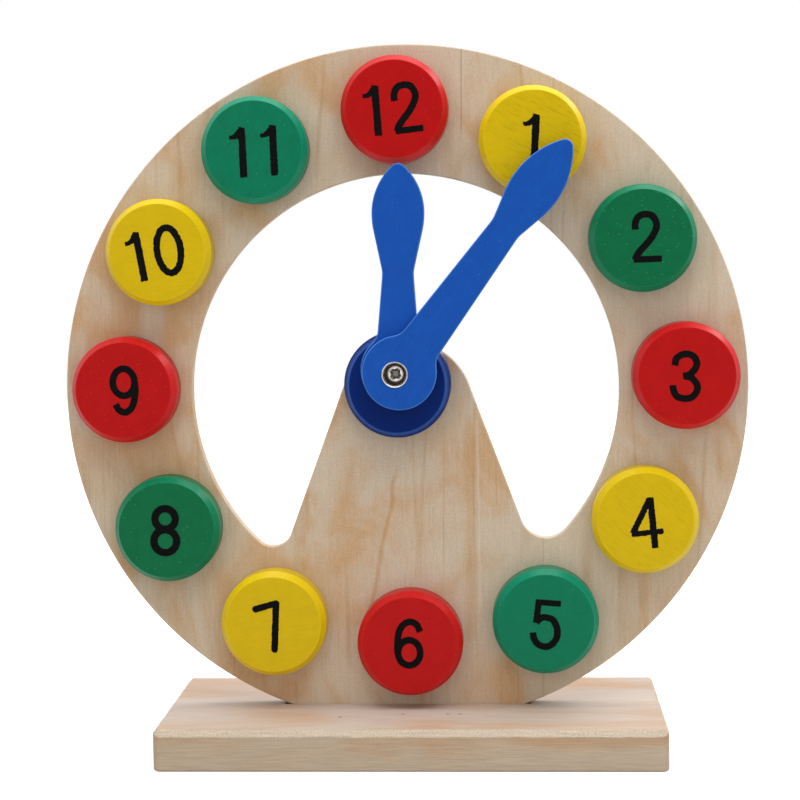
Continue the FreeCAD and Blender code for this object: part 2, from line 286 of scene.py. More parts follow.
def paintMaterial(look):
    # satin enamel on wood: even colour with faint mottling, paler and brushed round the edges, with the
    # wood's grain showing through where the paint is thin, and a few specks of dust. The pale edges are thin
    # paint on the discs and a painted highlight on the hands and the hub
    material, tree = emptyMaterial(look["name"])
    place = addNode(tree, "TexCoord").outputs["Object"]
    facing = addNode(tree, "NewGeometry").outputs["Normal"]
    edge, openGrain, dust, grainPlace = [addNode(tree, "Attribute", {"attribute_name": name})
        for name in ("thinPaintAndHighlight", "openGrain", "dust", "grainPlace")]
    mottle = addNode(tree, "TexNoise", {"Scale": 1 / (paintFilm["mottleSize"] * mm), "Detail": 6.0,
        "Roughness": 0.6}, {"Vector": place})
    shade = addNode(tree, "MapRange", {"From Min": 0.2, "From Max": 0.8}, {"Value": mottle})
    colour = addNode(tree, "Mix:RGBA", {6: look["deep"], 7: look["face"]}, {0: shade})
    pores = addNode(tree, "TexNoise", {"Scale": 1 / (paintFilm["poreSize"] * mm), "Detail": 3.0,
        "Roughness": 0.65}, {"Vector": grainPlace.outputs["Vector"]})
    poreRange = addNode(tree, "MapRange", {"From Min": 0.5, "From Max": 0.75}, {"Value": pores})
    poreShow = addNode(tree, "Math:MULTIPLY", None, {0: poreRange, 1: openGrain.outputs["Fac"]})
    colour = addNode(tree, "Mix:RGBA", {7: look["pore"]}, {0: poreShow, 6: colour})
    # on a bevel the normal runs round the rim, so a fine pattern along it gives strokes across the bevel
    strokes = addNode(tree, "TexNoise", {"Scale": paintFilm["strokes"]}, {"Vector": facing})
    strokeRange = addNode(tree, "MapRange", {"From Min": 0.3, "From Max": 0.7, "To Min": 0.55},
        {"Value": strokes})
    # the pale edge colour: thin paint on the disc bevels, painted highlight on the hands' arrises and the
    # hub's bevel
    edgeTint = addNode(tree, "Math:MULTIPLY", None, {0: strokeRange, 1: edge.outputs["Fac"]})
    colour = addNode(tree, "Mix:RGBA", {7: look["edge"]}, {0: edgeTint, 6: colour})
    cells = addNode(tree, "TexVoronoi", {"Scale": 1 / (paintFilm["dustSpacing"] * mm)}, {"Vector": place})
    dot = addNode(tree, "MapRange", {"From Min": 0.05, "From Max": 0.11, "To Min": 0.65, "To Max": 0.0},
        {"Value": cells.outputs["Distance"]})
    chosen = addNode(tree, "SeparateColor", None, {0: cells.outputs["Color"]})
    kept = addNode(tree, "Math:LESS_THAN", None, {0: chosen, 1: dust.outputs["Fac"]})
    speck = addNode(tree, "Math:MULTIPLY", None, {0: dot, 1: kept})
    colour = addNode(tree, "Mix:RGBA", {7: look["dusty"]}, {0: speck, 6: colour})

    grit = addNode(tree, "TexNoise", {"Scale": 1 / (paintFilm["gritSize"] * mm), "Detail": 3.0},
        {"Vector": place})
    height = addNode(tree, "Math:MULTIPLY_ADD", {1: -1.5}, {0: poreShow, 2: grit})
    bump = addNode(tree, "Bump", {"Strength": 0.5, "Distance": paintFilm["relief"] * mm}, {"Height": height})
    shader = addNode(tree, "BsdfPrincipled", {"Roughness": look["roughness"], "IOR": 1.5,
        "Specular IOR Level": look["sheen"]}, {"Base Color": colour, "Normal": bump})
    addNode(tree, "OutputMaterial", None, {"Surface": shader})
    return material


def turned(x, z, degrees):
    angle = math.radians(degrees)
    return x * math.cos(angle) - z * math.sin(angle), x * math.sin(angle) + z * math.cos(angle)


def closedLoops(step):
    # step says which point follows each point; the loops come with the longest first
    loops = []
    while step:
        start, point = step.popitem()
        loop = [start]
        while point != start:
            loop.append(point)
            point = step.pop(point)
        loops.append(loop)
    return sorted(loops, key=len, reverse=True)


def pointAttribute(piece, name, values, kind="FLOAT"):
    attribute = piece.data.attributes.new(name, kind, "POINT")
    attribute.data.foreach_set("value" if kind == "FLOAT" else "vector", np.array(values, float).ravel())


def paintPoints(piece, edgeTint, grain, showing, dust):
    # what paintMaterial reads: the pale edge (thin paint on the discs, painted highlight on the hands and
    # hub) and the grain's place at each point, then grain and dust overall
    pointAttribute(piece, "thinPaintAndHighlight", edgeTint)
    pointAttribute(piece, "grainPlace", grain, "FLOAT_VECTOR")
    pointAttribute(piece, "openGrain", [showing] * len(edgeTint))
    pointAttribute(piece, "dust", [dust] * len(edgeTint))


def arcPoints(centre, start, end, turn, step):
    # points on an arc, after its start and up to its end; turn is 1 for anticlockwise, step is in degrees
    radius = math.dist(centre, start)
    a = math.atan2(start[1] - centre[1], start[0] - centre[0])
    b = math.atan2(end[1] - centre[1], end[0] - centre[0])
    sweep = (b - a) * turn % (2 * math.pi)
    count = max(2, round(math.degrees(sweep) / step))
    angles = [a + turn * sweep * i / count for i in range(1, count + 1)]
    return [(centre[0] + radius * math.cos(t), centre[1] + radius * math.sin(t)) for t in angles]


def addPlate(bm, outlines, back, front, edge, bends=(0, 30, 60, 90)):
    # flat solid between two depths with rounded edges; the first outline is the outer one
    bends = [math.radians(a) for a in bends]
    profile = [(edge * (1 - math.sin(a)), back - edge + edge * math.cos(a)) for a in bends]
    profile += [(edge * (1 - math.cos(a)), front + edge - edge * math.sin(a)) for a in bends]
    backRings, frontRings = [], []
    for number, outline in enumerate(outlines):
        area = sum(a[0] * b[1] - b[0] * a[1] for a, b in zip(outline, outline[1:] + outline[:1]))
        if (area > 0) != (number == 0):
            outline = outline[::-1]
        count = len(outline)
        rings = [[] for _ in profile]
        for i, (x, z) in enumerate(outline):
            before, after = outline[i - 1], outline[(i + 1) % count]
            a = Vector((z - before[1], before[0] - x)).normalized()
            b = Vector((after[1] - z, x - after[0])).normalized()
            out = (a + b) / (1 + a.dot(b))
            for ring, (inset, depth) in zip(rings, profile):
                ring.append(bm.verts.new(((x - out.x * inset) * mm, depth * mm, (z - out.y * inset) * mm)))
        for low, high in zip(rings, rings[1:]):
            for i in range(count):
                j = (i + 1) % count
                bm.faces.new((low[i], low[j], high[j], high[i]))
        backRings.append(rings[0])
        frontRings.append(rings[-1])
    for caps in (backRings, frontRings):
        flat = [v for ring in caps for v in ring]
        corners = [[Vector((v.co.x, v.co.z, 0)) for v in ring] for ring in caps]
        for triangle in geometry.tessellate_polygon(corners):
            bm.faces.new([flat[i] for i in triangle])


def plate(name, outlines, back, front, edge):
    bm = bmesh.new()
    addPlate(bm, outlines, back, front, edge)
    return meshPiece(name, bm)


birchWood = woodMaterial(birchVeneer)
beechWood = woodMaterial(beechStick)
print("wood materials made")


# Face panel: a ring and a tapering pillar, cut from 5 mm ply
low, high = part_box("face_panel")
panel = {
    "ringRadius": (high.x - low.x) / 2 / mm,
    "openingRadius": 69.0,
    "centre": (0.0, (high.z - (high.x - low.x) / 2) / mm),
    "foot": low.z / mm,
    "pillarTop": (0.5, -6.0),  # from the ring's centre
    "pillarRadius": 21.4,
    "lean": 20.5,  # degrees, each flank from the vertical
    "lobes": {-1: 6.5, 1: 8.5},
    "edge": 0.45,
}


def panelOutlines():
    cx, cz = panel["centre"]
    footHalf = math.sqrt(panel["ringRadius"] ** 2 - (cz - panel["foot"]) ** 2)
    start, end = (cx + footHalf, panel["foot"]), (cx - footHalf, panel["foot"])
    ring = [start] + arcPoints((cx, cz), start, end, 1, 1.0)
    top = Vector((cx + panel["pillarTop"][0], cz + panel["pillarTop"][1]))
    middle = Vector((cx, cz))
    lean = math.radians(panel["lean"])
    touches = {}
    for side, lobe in panel["lobes"].items():
        outward = Vector((side * math.cos(lean), math.sin(lean)))
        down = Vector((side * math.sin(lean), -math.cos(lean)))
        start = top + outward * (panel["pillarRadius"] + lobe)
        gap = start - middle
        along = gap.dot(down)
        reach = -along + math.sqrt(along ** 2 - gap.length_squared + (panel["openingRadius"] - lobe) ** 2)
        lobeCentre = start + down * reach
        onRing = middle + (lobeCentre - middle).normalized() * panel["openingRadius"]
        touches[side] = (onRing, lobeCentre, lobeCentre - outward * lobe,
            top + outward * panel["pillarRadius"])
    left, right = touches[-1], touches[1]
    opening = [tuple(right[0])] + arcPoints(middle, right[0], left[0], 1, 1.0)
    opening += arcPoints(left[1], left[0], left[2], 1, 6.0)
    opening += [tuple(left[3])] + arcPoints(top, left[3], right[3], -1, 3.0)
    opening += [tuple(right[2])] + arcPoints(right[1], right[2], right[0], 1, 6.0)[:-1]
    return [ring, opening]


facePanel = plate("facePanel", panelOutlines(), high.y / mm, low.y / mm, panel["edge"])
finishPiece(facePanel, birchWood, "stand", "panel_wood", "face_panel")
print("face panel made")


def boardOutline():
    # points round the board: a middle point, a direction outwards and a place along the edge
    inset = board["corner"]
    left, right = board["left"] + inset, board["right"] - inset
    front, back = board["front"] + inset, board["back"] - inset
    corners = [((right, front), (right, back), 0), ((right, back), (left, back), 90),
               ((left, back), (left, front), 180), ((left, front), (right, front), 270)]
    points = []
    for start, end, angle in corners:
        count = round(math.dist(start, end) / board["step"])
        for i in range(count + 1):
            spot = [start[n] + (end[n] - start[n]) * i / count for n in (0, 1)]
            points.append((spot, angle))
        points += [(end, angle + 15 * i) for i in range(1, 6)]
    return [(spot, (math.cos(math.radians(a)), math.sin(math.radians(a)))) for spot, a in points]


def makeBoard():
    bm = bmesh.new()
    outline = boardOutline()
    # each row: height above the underside or share of the chamfer, and how far in it lies
    rows = [("side", 0.0, 0.7), ("side", 0.12, 0.42), ("side", 0.42, 0.12), ("side", 0.7, 0.0),
            ("chamfer", -0.12, -0.12), ("chamfer", 0.02, 0.04), ("chamfer", 0.2, 0.2), ("chamfer", 0.4, 0.4),
            ("chamfer", 0.6, 0.6), ("chamfer", 0.8, 0.8), ("chamfer", 0.96, 0.98), ("chamfer", 1.0, 1.12)]
    rings, planed = [], []
    for kind, level, inward in rows:
        ring = []
        for spot, (outX, outY) in outline:
            along = Vector((spot[0] / 3, spot[1] / 3, 0))
            size = board["longChamfer"] * outY ** 2 + board["endChamfer"] * outX ** 2
            if kind == "side":
                height, inX, inY = level, inward, inward
            else:
                drift = noise.noise(along + Vector((0, 0, 9.1 if level > 0.5 else 3.3)))
                wave = board["wave"] * (drift - 0.1)
                height = board["top"] - size * (1 - level) + (wave if level < 0.5 else 0) * (1 - abs(level))
                inX, inY = (max(0, size * inward + (wave if level >= 0.5 else 0)) for _ in (0, 1))
                if 0.1 < level < 0.9:
                    rough = board["chatter"] * noise.noise(Vector((spot[0] * 1.3, spot[1] * 1.3, level * 9)))
                    height, inX, inY = height + rough, inX - rough, inY - rough
            reach = board["corner"]
            x, y = spot[0] + outX * (reach - inX), spot[1] + outY * (reach - inY)
            ring.append(bm.verts.new((x * mm, y * mm, min(height, board["top"]) * mm)))
        rings.append(ring)
        planed += [1.0 if kind == "chamfer" and 0 < level < 1 else 0.0] * len(ring)
    for lower, upper in zip(rings, rings[1:]):
        for i in range(len(outline)):
            j = (i + 1) % len(outline)
            bm.faces.new((lower[i], lower[j], upper[j], upper[i]))
    bm.faces.new(rings[0][::-1])
    # the top round the groove, and the groove itself
    left, right, half, depth = board["groove"]
    mouth = [(left, -half), (right, -half), (right, half), (left, half)]
    ease = board["ease"]
    steps = [(ease, 0.0), (0.0, ease), (0.0, depth)]
    pocket = []
    for outward, sunk in steps:
        pocket.append([bm.verts.new(((x + math.copysign(outward, x)) * mm,
            (y + math.copysign(outward, y)) * mm, (board["top"] - sunk) * mm)) for x, y in mouth])
    for upper, lower in zip(pocket, pocket[1:]):
        for i in range(4):
            bm.faces.new((upper[i], upper[i - 3], lower[i - 3], lower[i]))
    bm.faces.new(pocket[-1])
    flat = rings[-1] + pocket[0]
    edges = [[v.co.copy() for v in ring] for ring in (rings[-1], pocket[0])]
    for triangle in geometry.tessellate_polygon(edges):
        bm.faces.new([flat[i] for i in triangle])
    planed += [0.0] * (len(bm.verts) - len(planed))
    piece = meshPiece("baseBoard", bm)
    pointAttribute(piece, "planed", planed)
    return piece


finishPiece(makeBoard(), beechWood, "stand", "board_wood", "base_board")
print("base board made")


def turnedPiece(name, profile, place, segments=96, closed=False, wander=None):
    # turned about an axis along Y; profile is (radius, depth) from the back to the front
    bm = bmesh.new()
    rings = []
    for radius, depth in profile:
        if radius == 0:
            rings.append([bm.verts.new((place[0] * mm, depth * mm, place[1] * mm))])
            continue
        ring = []
        for i in range(segments):
            angle = 2 * math.pi * i / segments
            r = radius + (wander(radius, depth, angle) if wander else 0.0)
            ring.append(bm.verts.new(((place[0] + r * math.sin(angle)) * mm, depth * mm,
                (place[1] + r * math.cos(angle)) * mm)))
        rings.append(ring)
    pairs = list(zip(rings, rings[1:])) + ([(rings[-1], rings[0])] if closed else [])
    for a, b in pairs:
        for i in range(segments):
            j = (i + 1) % segments
            corners = [a[i % len(a)], a[j % len(a)], b[j % len(b)], b[i % len(b)]]
            bm.faces.new(list(dict.fromkeys(corners)))  # each corner once where a ring is a point
    return meshPiece(name, bm)


# Number discs and hub: turned, bevelled and painted
discLook = {
    "bevelWidth": 1.65,
    "bevelDepth": 2.3,
    "crest": 0.35,  # rounding where the side meets the bevel
    "rim": 0.25,  # rounding where the bevel meets the face
    "bevelWander": 0.10,
    "segments": 120,
    "grainStretch": 0.1,
    "showing": 0.15, "dust": 0.12,  # grain and dust where the list of brushwork has none
}
satin = {"roughness": 0.32, "sheen": 0.14}
paints = {
    "red": {**satin, "name": "redEnamel", "face": "BC0C0C", "deep": "AE0808", "edge": "CA2020",
        "pore": "8E0404", "dusty": "E07070", "slot": "red_paint", "hours": (3, 6, 9, 12)},
    "yellow": {**satin, "name": "yellowEnamel", "face": "D8B808", "deep": "D0B006", "edge": "E4C414",
        "pore": "7E6A04", "dusty": "F0E090", "slot": "yellow_paint", "hours": (1, 4, 7, 10)},
    "green": {**satin, "name": "greenEnamel", "face": "007A58", "deep": "00704E", "edge": "0C8A68",
        "pore": "045038", "dusty": "90C4B0", "slot": "green_paint", "hours": (5, 11)},
    "leafGreen": {**satin, "name": "leafGreenEnamel", "face": "006C42", "deep": "00623A", "edge": "0A7C56",
        "pore": "04482A", "dusty": "90C4A8", "slot": "green_paint", "hours": (2, 8)},
    # navy's edge colour is the painted highlight on the hub's bevel
    "navy": {"name": "navyEnamel", "face": "02246E", "deep": "021E62", "edge": "3C66B6", "pore": "040C40",
        "dusty": "5468B8", "slot": "navy_paint", "hours": (), "roughness": 0.3, "sheen": 0.06},
}
# how each disc was painted: the way of its grain in degrees from level, how far the grain shows, and dust
brushwork = {
    1: (-26, 0.4, 0.1), 2: (20, 0.15, 0.8), 4: (-40, 0.25, 0.1), 7: (10, 0.15, 0.15),
    8: (75, 0.1, 0.5), 9: (35, 0.2, 0.7), 11: (52, 0.4, 0.25), 12: (50, 0.35, 0.1),
}


def paintedDisc(name, node, material, slot, seed):
    place, radius, back, front = measure(node)
    flat = radius - discLook["bevelWidth"]
    shoulder = front + discLook["bevelDepth"]
    crest, rim = discLook["crest"], discLook["rim"]

    def wander(r, depth, angle):
        if depth > shoulder or r < flat * 0.9:
            return 0.0
        uneven = noise.noise(Vector((math.sin(angle), math.cos(angle), seed * 3.7)))
        return discLook["bevelWander"] * (uneven - 0.5)

    profile = [
        (0, back), (radius - 0.3, back), (radius, back - 0.3), (radius, shoulder + crest),
        (radius - 0.04, shoulder + crest * 0.4), (radius - 0.2, shoulder - crest * 0.2),
        (flat + rim, front + rim * 1.3), (flat + rim * 0.3, front + rim * 0.25), (flat - rim, front),
        (flat * 0.7, front), (flat * 0.35, front), (0, front),
    ]
    piece = turnedPiece(name, profile, place, discLook["segments"], wander=wander)
    plain = (seed * 37 % 180, discLook["showing"], discLook["dust"])
    grainAngle, showing, dust = brushwork.get(seed, plain)
    edgeTint, grain = [], []
    for vertex in piece.data.vertices:
        across, up = vertex.co.x / mm - place[0], vertex.co.z / mm - place[1]
        onBevel = flat - rim * 0.5 < math.hypot(across, up) and vertex.co.y / mm < shoulder + crest * 0.5
        edgeTint.append(1.0 if onBevel else 0.0)
        along, beside = turned(across, up, -grainAngle)
        grain.append((along * discLook["grainStretch"] * mm, beside * mm, seed * 0.1))
    paintPoints(piece, edgeTint, grain, showing, dust)
    return finishPiece(piece, material, "stand", slot, node)


for colour, look in paints.items():
    look["material"] = paintMaterial(look)
    for hour in look["hours"]:
        paintedDisc("numberDisc%02d" % hour, "number_disc_%02d" % hour, look["material"], look["slot"], hour)
hub = paintedDisc("hubDisc", "hub_disc", paints["navy"]["material"], "navy_paint", 20)
# painted highlight: a pale band on its bevel towards the face, while elsewhere it keeps nearly the plain
# colour
hubLook = {"lighter": 0.8, "covered": 0.05, "from": 0.8, "to": 1.8}  # the band of painted highlight, in mm from the rim
middle, radius, back, front = measure("hub_disc")
hubHighlight = []
for vertex in hub.data.vertices:
    inwards = radius - math.hypot(vertex.co.x / mm - middle[0], vertex.co.z / mm - middle[1])
    lighter = hubLook["from"] < inwards < hubLook["to"] and vertex.co.y / mm < (front + back) / 2
    hubHighlight.append(hubLook["lighter"] if lighter else hubLook["covered"])
hub.data.attributes["thinPaintAndHighlight"].data.foreach_set("value", hubHighlight)
print("discs made")


# Numerals: stamped by hand in matt black ink, so they lean and sit a little differently on each disc.
# A stroke is a row of points right and up from the figure's middle, some with a half width of their own.
inkLook = {
    "sunk": 0.01, "proud": 0.04,  # film of ink, from just inside the paint
    "cell": 0.22,  # grid on which the outlines are found
    "ragSize": 0.55,  # the ink's ragged edge
    "spread": 0.12,  # how far the ink ran beyond the stamp
    "plain": 0.97,  # half width of most strokes
    "gridStart": (-6.6, -9.4), "gridPoints": (61, 86), "runs": 8,
    "band": 0.6, "rag": 1.8,  # the strip along an outline that is ragged, and how much
    "edge": 0.02,  # rounding of the film
    "patchSize": 0.8, "dark": "020203", "lighter": "0B0B0C", "dull": (0.45, 0.7), "sheen": 0.06,
}


def ringStroke(right, up, halfWide, halfHigh, halfWidth=inkLook["plain"]):
    angles = [math.radians(10 * i) for i in range(37)]
    return [(right + halfWide * math.cos(a), up + halfHigh * math.sin(a), halfWidth) for a in angles]


figures = {
    "0": {"rings": [ringStroke(0, 0, 3.8, 7.2)]},
    "1": {"strokes": [
        [(0.28, 7.55, 0.75), (0.2, 6.5, 1.0), (-0.25, -8.0, 1.07)],
        [(0, 7.3, 0.45), (-0.6, 6.2, 0.8), (-1.5, 5.2, 0.75), (-2.6, 4.75, 0.6), (-3.75, 4.65, 0.5)]]},
    "2": {"strokes": [
        [(-3.4, 2.4), (-3.3, 4.6), (-2.2, 6.4), (-0.1, 7.0), (2.1, 6.3), (3.3, 3.9), (2.8, 1.7),
            (1.2, -0.9), (-1.0, -3.3), (-2.8, -5.4), (-3.6, -7.1)],
        [(-4.0, -7.1, 0.9), (4.6, -7.0, 0.9)]]},
    "3": {"strokes": [
        [(-3.15, 3.5), (-2.6, 5.7), (-0.1, 7.0), (2.6, 6.3), (3.7, 4.1), (3.0, 2.1), (1.2, 0.35),
            (-0.5, 0.1)],
        [(0.1, 0), (2.1, -0.6), (3.7, -2.7), (3.75, -4.5), (2.3, -6.5), (-0.1, -7.1), (-2.6, -6.3),
            (-3.7, -4.2), (-3.8, -2.9)]]},
    "4": {"strokes": [
        [(2.0, 8, 0.95), (2.0, -8, 0.95)], [(1.7, 7.6, 0.85), (-4.6, -2.7, 0.85)],
        [(-4.9, -3.0, 0.75), (5.0, -3.0, 0.75)]]},
    "5": {"strokes": [
        [(-3.6, 6.87, 0.85), (4.3, 6.87, 0.85)], [(-2.7, 7.0, 0.9), (-3.05, 0.3, 0.9)],
        [(-2.98, 0.44), (-2.06, 1.42), (-0.45, 2.18), (2.14, 1.53), (3.70, -1.06), (3.82, -4.2),
            (2.2, -6.6), (0.23, -7.3), (-2.1, -6.5), (-3.4, -4.8), (-3.8, -3.1)]]},
    "6": {"rings": [ringStroke(0.05, -2.98, 3.56, 4.1)], "strokes": [
        [(-3.6, -3.2), (-3.65, 0.2), (-3.1, 3.8), (-1.75, 6.05), (0.4, 7.05), (2.5, 6.15), (3.6, 3.9)]]},
    "7": {"strokes": [[(-3.4, 6.6), (3.5, 6.85)], [(3.5, 6.85), (-0.55, -7.55)]], "roundEnds": True},
    "8": {"rings": [ringStroke(0.1, 3.8, 3.3, 3.33, 1.1), ringStroke(0.05, -3.4, 3.68, 3.72, 1.1)]},
    "9": {"rings": [ringStroke(-0.1, 2.75, 3.5, 4.33)], "strokes": [
        [(3.4, 3.1), (3.6, 0.2), (3.25, -2.5), (2.1, -5.5), (0.1, -6.9), (-1.95, -6.1), (-2.9, -4.3)]]},
}
# each disc's figures: what it shows, right and up from the disc's middle, tilt in degrees, raggedness in mm
stamps = {
    1: [("1", 0.8, 0.0, -1.5, 0.12)], 2: [("2", 0.9, 0.4, 1.0, 0.05)], 3: [("3", -0.7, 0.0, 0.0, 0.05)],
    4: [("4", 0.2, -0.7, 5.5, 0.12)], 5: [("5", -0.1, -0.5, -4.6, 0.05)], 6: [("6", -0.3, 0.4, 0.0, 0.05)],
    7: [("7", -0.8, -0.6, 13.0, 0.12)], 8: [("8", -0.4, -0.2, -0.5, 0.05)], 9: [("9", 0.4, -0.1, 1.0, 0.05)],
    10: [("1", -5.5, -1.1, 11.5, 0.12), ("0", 3.8, 0.6, 7.5, 0.12)],
    11: [("1", -3.4, -0.6, 3.5, 0.12), ("1", 6.4, -0.1, 3.4, 0.12)],
    12: [("1", -5.4, -0.3, 5.5, 0.08), ("2", 3.9, 0.4, 5.5, 0.08)],
}


def smoothStroke(points):
    # curve through the points, as a row of short straight runs
    rows = [np.array(p if len(p) == 3 else (*p, inkLook["plain"])) for p in points]
    if len(rows) == 2:
        return rows
    rows = [2 * rows[0] - rows[1]] + rows + [2 * rows[-1] - rows[-2]]
    line = []
    for a, b, c, d in zip(rows, rows[1:], rows[2:], rows[3:]):
        for t in np.arange(inkLook["runs"]) / inkLook["runs"]:
            line.append(0.5 * (2 * b + (c - a) * t + (2 * a - 5 * b + 4 * c - d) * t ** 2
                + (3 * b - a - 3 * c + d) * t ** 3))
    return line + [rows[-2]]


def inkDistance(grid, line, flatEnds):
    # distance of every grid point from a stroke's edge, negative in the ink
    nearest = np.full(grid.shape[:2], 99.0)
    for a, b in zip(line, line[1:]):
        run = b[:2] - a[:2]
        t = np.clip(((grid - a[:2]) @ run) / (run @ run), 0, 1)
        gap = np.linalg.norm(grid - a[:2] - t[..., None] * run, axis=2) - (a[2] + t * (b[2] - a[2]))
        if flatEnds:
            for end, inner in ((line[0], line[1]), (line[-1], line[-2])):
                if min(math.dist(a[:2], end[:2]), math.dist(b[:2], end[:2])) < 2 * end[2]:
                    out = (end - inner)[:2] / np.linalg.norm((end - inner)[:2])
                    gap = np.maximum(gap, (grid - end[:2]) @ out)
        nearest = np.minimum(nearest, gap)
    return nearest


def outlinesWhereNegative(field, start, cell):
    # closed outlines round the negative part of a field on a square grid, the longest first
    inside = field < 0
    step = {}
    for i, j in np.ndindex(field.shape[0] - 1, field.shape[1] - 1):
        corners = [(i, j), (i + 1, j), (i + 1, j + 1), (i, j + 1)]
        state = [inside[c] for c in corners]
        for k in range(4):
            if state[k] and not state[k - 3]:
                m = (k + 1) % 4
                while state[m] or not state[m - 3]:
                    m = (m + 1) % 4
                step[frozenset((corners[k], corners[k - 3]))] = frozenset((corners[m], corners[m - 3]))
    outlines = []
    for loop in closedLoops(step):
        outline = []
        for a, b in (sorted(key) for key in loop):
            t = min(max(field[a] / (field[a] - field[b]), 0.05), 0.95)
            outline.append(tuple(start[n] + cell * (a[n] + t * (b[n] - a[n])) for n in (0, 1)))
        if len(outline) > 12:
            outlines.append(outline)
    return outlines


def stampFigure(bm, figure, place, tilt, ragged, front, seed):
    cell = inkLook["cell"]
    start = inkLook["gridStart"]
    sides = [first + cell * np.arange(count) for first, count in zip(start, inkLook["gridPoints"])]
    grid = np.stack(np.meshgrid(*sides, indexing="ij"), axis=2)
    shape = figures[figure]
    fields = [inkDistance(grid, [np.array(p) for p in ring], False) for ring in shape.get("rings", [])]
    fields += [inkDistance(grid, smoothStroke(stroke), not shape.get("roundEnds"))
        for stroke in shape.get("strokes", [])]
    field = np.minimum.reduce(fields) - inkLook["spread"]
    for index in np.argwhere(np.abs(field) < inkLook["band"]):
        spot = grid[tuple(index)] / inkLook["ragSize"]
        uneven = noise.noise(Vector((spot[0], spot[1], seed * 7.3)))
        field[tuple(index)] += inkLook["rag"] * ragged * uneven
    placed = []
    for outline in outlinesWhereNegative(field, start, cell):
        placed.append([tuple(np.add(place, turned(x, z, tilt))) for x, z in outline])
    addPlate(bm, placed, front + inkLook["sunk"], front - inkLook["proud"], inkLook["edge"], (0, 90))


def inkMaterial():
    # stamping ink soaks unevenly into the paint: nearly black, dull, with a faint patchy sheen
    material, tree = emptyMaterial("mattStampingInk")
    place = addNode(tree, "TexCoord").outputs["Object"]
    patch = addNode(tree, "TexNoise", {"Scale": 1 / (inkLook["patchSize"] * mm), "Detail": 3.0},
        {"Vector": place})
    tone = addNode(tree, "ValToRGB", None, {0: patch})
    fillRamp(tone, [(0.35, linear(inkLook["dark"])), (0.70, linear(inkLook["lighter"]))])
    dull = addNode(tree, "MapRange", {"To Min": inkLook["dull"][0], "To Max": inkLook["dull"][1]},
        {"Value": patch})
    bump = addNode(tree, "Bump", {"Strength": 0.4, "Distance": 0.02 * mm}, {"Height": patch})
    shader = addNode(tree, "BsdfPrincipled", {"IOR": 1.5, "Specular IOR Level": inkLook["sheen"]},
        {"Base Color": tone, "Roughness": dull, "Normal": bump})
    addNode(tree, "OutputMaterial", None, {"Surface": shader})
    return material


blackInk = inkMaterial()
for hour, row in stamps.items():
    middle, _, _, front = measure("number_disc_%02d" % hour)
    bm = bmesh.new()
    for index, (figure, right, up, tilt, ragged) in enumerate(row):
        stampFigure(bm, figure, (middle[0] + right, middle[1] + up), tilt, ragged, front, hour + index / 2)
    finishPiece(meshPiece("numeral%02d" % hour, bm), blackInk, "stand", None)
print("numerals stamped")


# Hands: cut from 3 mm ply, edges sanded round, sprayed blue
handLook = {
    # edge is the colour of the painted highlight along each hand's front arris
    "name": "blueEnamel", "face": "1456B6", "deep": "104DA8", "edge": "4A86DA", "pore": "0A3A86",
    "dusty": "7CA4E0", "roughness": 0.38, "sheen": 0.14, "edgeRound": 0.4,
    "lean": {"hour": 0.8, "minute": 37.0},  # degrees clockwise from upright
    "grainShows": 0.3, "grainStretch": 0.12,  # the ply's grain runs along each hand, under the paint
    "dust": 0.2,
}
bluePaint = paintMaterial(handLook)


def outlinesAt(node, depth):
    # closed outlines of a CAD node in a plane of constant depth in millimetres, the longest first
    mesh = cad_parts[node].data
    use = {}
    for face in mesh.polygons:
        corners = [mesh.vertices[v].co for v in face.vertices]
        if all(abs(c.y / mm - depth) < 0.001 for c in corners):
            keys = [(round(c.x / mm, 4), round(c.z / mm, 4)) for c in corners]
            for a, b in zip(keys, keys[1:] + keys[:1]):
                use.setdefault(frozenset((a, b)), []).append((a, b))
    return closedLoops(dict(pairs[0] for pairs in use.values() if len(pairs) == 1))


for body, node in (("hour", "hour_hand"), ("minute", "minute_hand")):
    _, _, back, front = measure(node)
    outlines = outlinesAt(node, back)
    spans = [max(p[1] for p in o) - min(p[1] for p in o) for o in outlines]
    outlines = [o for _, o in sorted(zip(spans, outlines), key=lambda pair: -pair[0])]
    hand = plate(body + "Hand", outlines, back, front, handLook["edgeRound"])
    finishPiece(hand, bluePaint, body, "blue_paint", node)
    edgeTint, grain = [], []
    for vertex in hand.data.vertices:
        x, y, z = vertex.co
        # painted highlight along the front arris only, in the pale edge colour
        edgeTint.append(1.0 if 0.02 < y / mm - front < handLook["edgeRound"] * 0.8 else 0.0)
        beside, along = turned(x, z, handLook["lean"][body])
        grain.append((along * handLook["grainStretch"], beside, y))
    paintPoints(hand, edgeTint, grain, handLook["grainShows"], handLook["dust"])
print("hands made")


# Pivot: a plated cup through the hands, with a pan-head cross screw in it and a washer between the hands
place, _, back, front = measure("pivot_cup")
pivot = {
    "place": place, "back": back, "front": front,
    "rim": 4.15, "barrel": 3.8, "inside": 3.45, "hole": 1.7, "floor": 0.4, "rimThickness": 0.3,
    "head": 2.75, "headHeight": 1.9, "shank": 1.5,
    # the recess tapers: half width and reach of its arms just above the head, and at the bottom
    "crossTurn": 38.0, "crossMouth": (0.621, 34 / 15), "crossFloor": (0.378, 14 / 15), "crossDepth": 1.25,
    "washer": 6.0, "washerBore": 3.9,
}


plating = {
    "patchSize": 0.9, "scratchSize": 0.25, "stretch": (1.0, 0.15, 0.3), "turn": (0.0, 0.6, 0.0),
    "uneven": 0.15,  # how much duller than smooth the scratches are
}


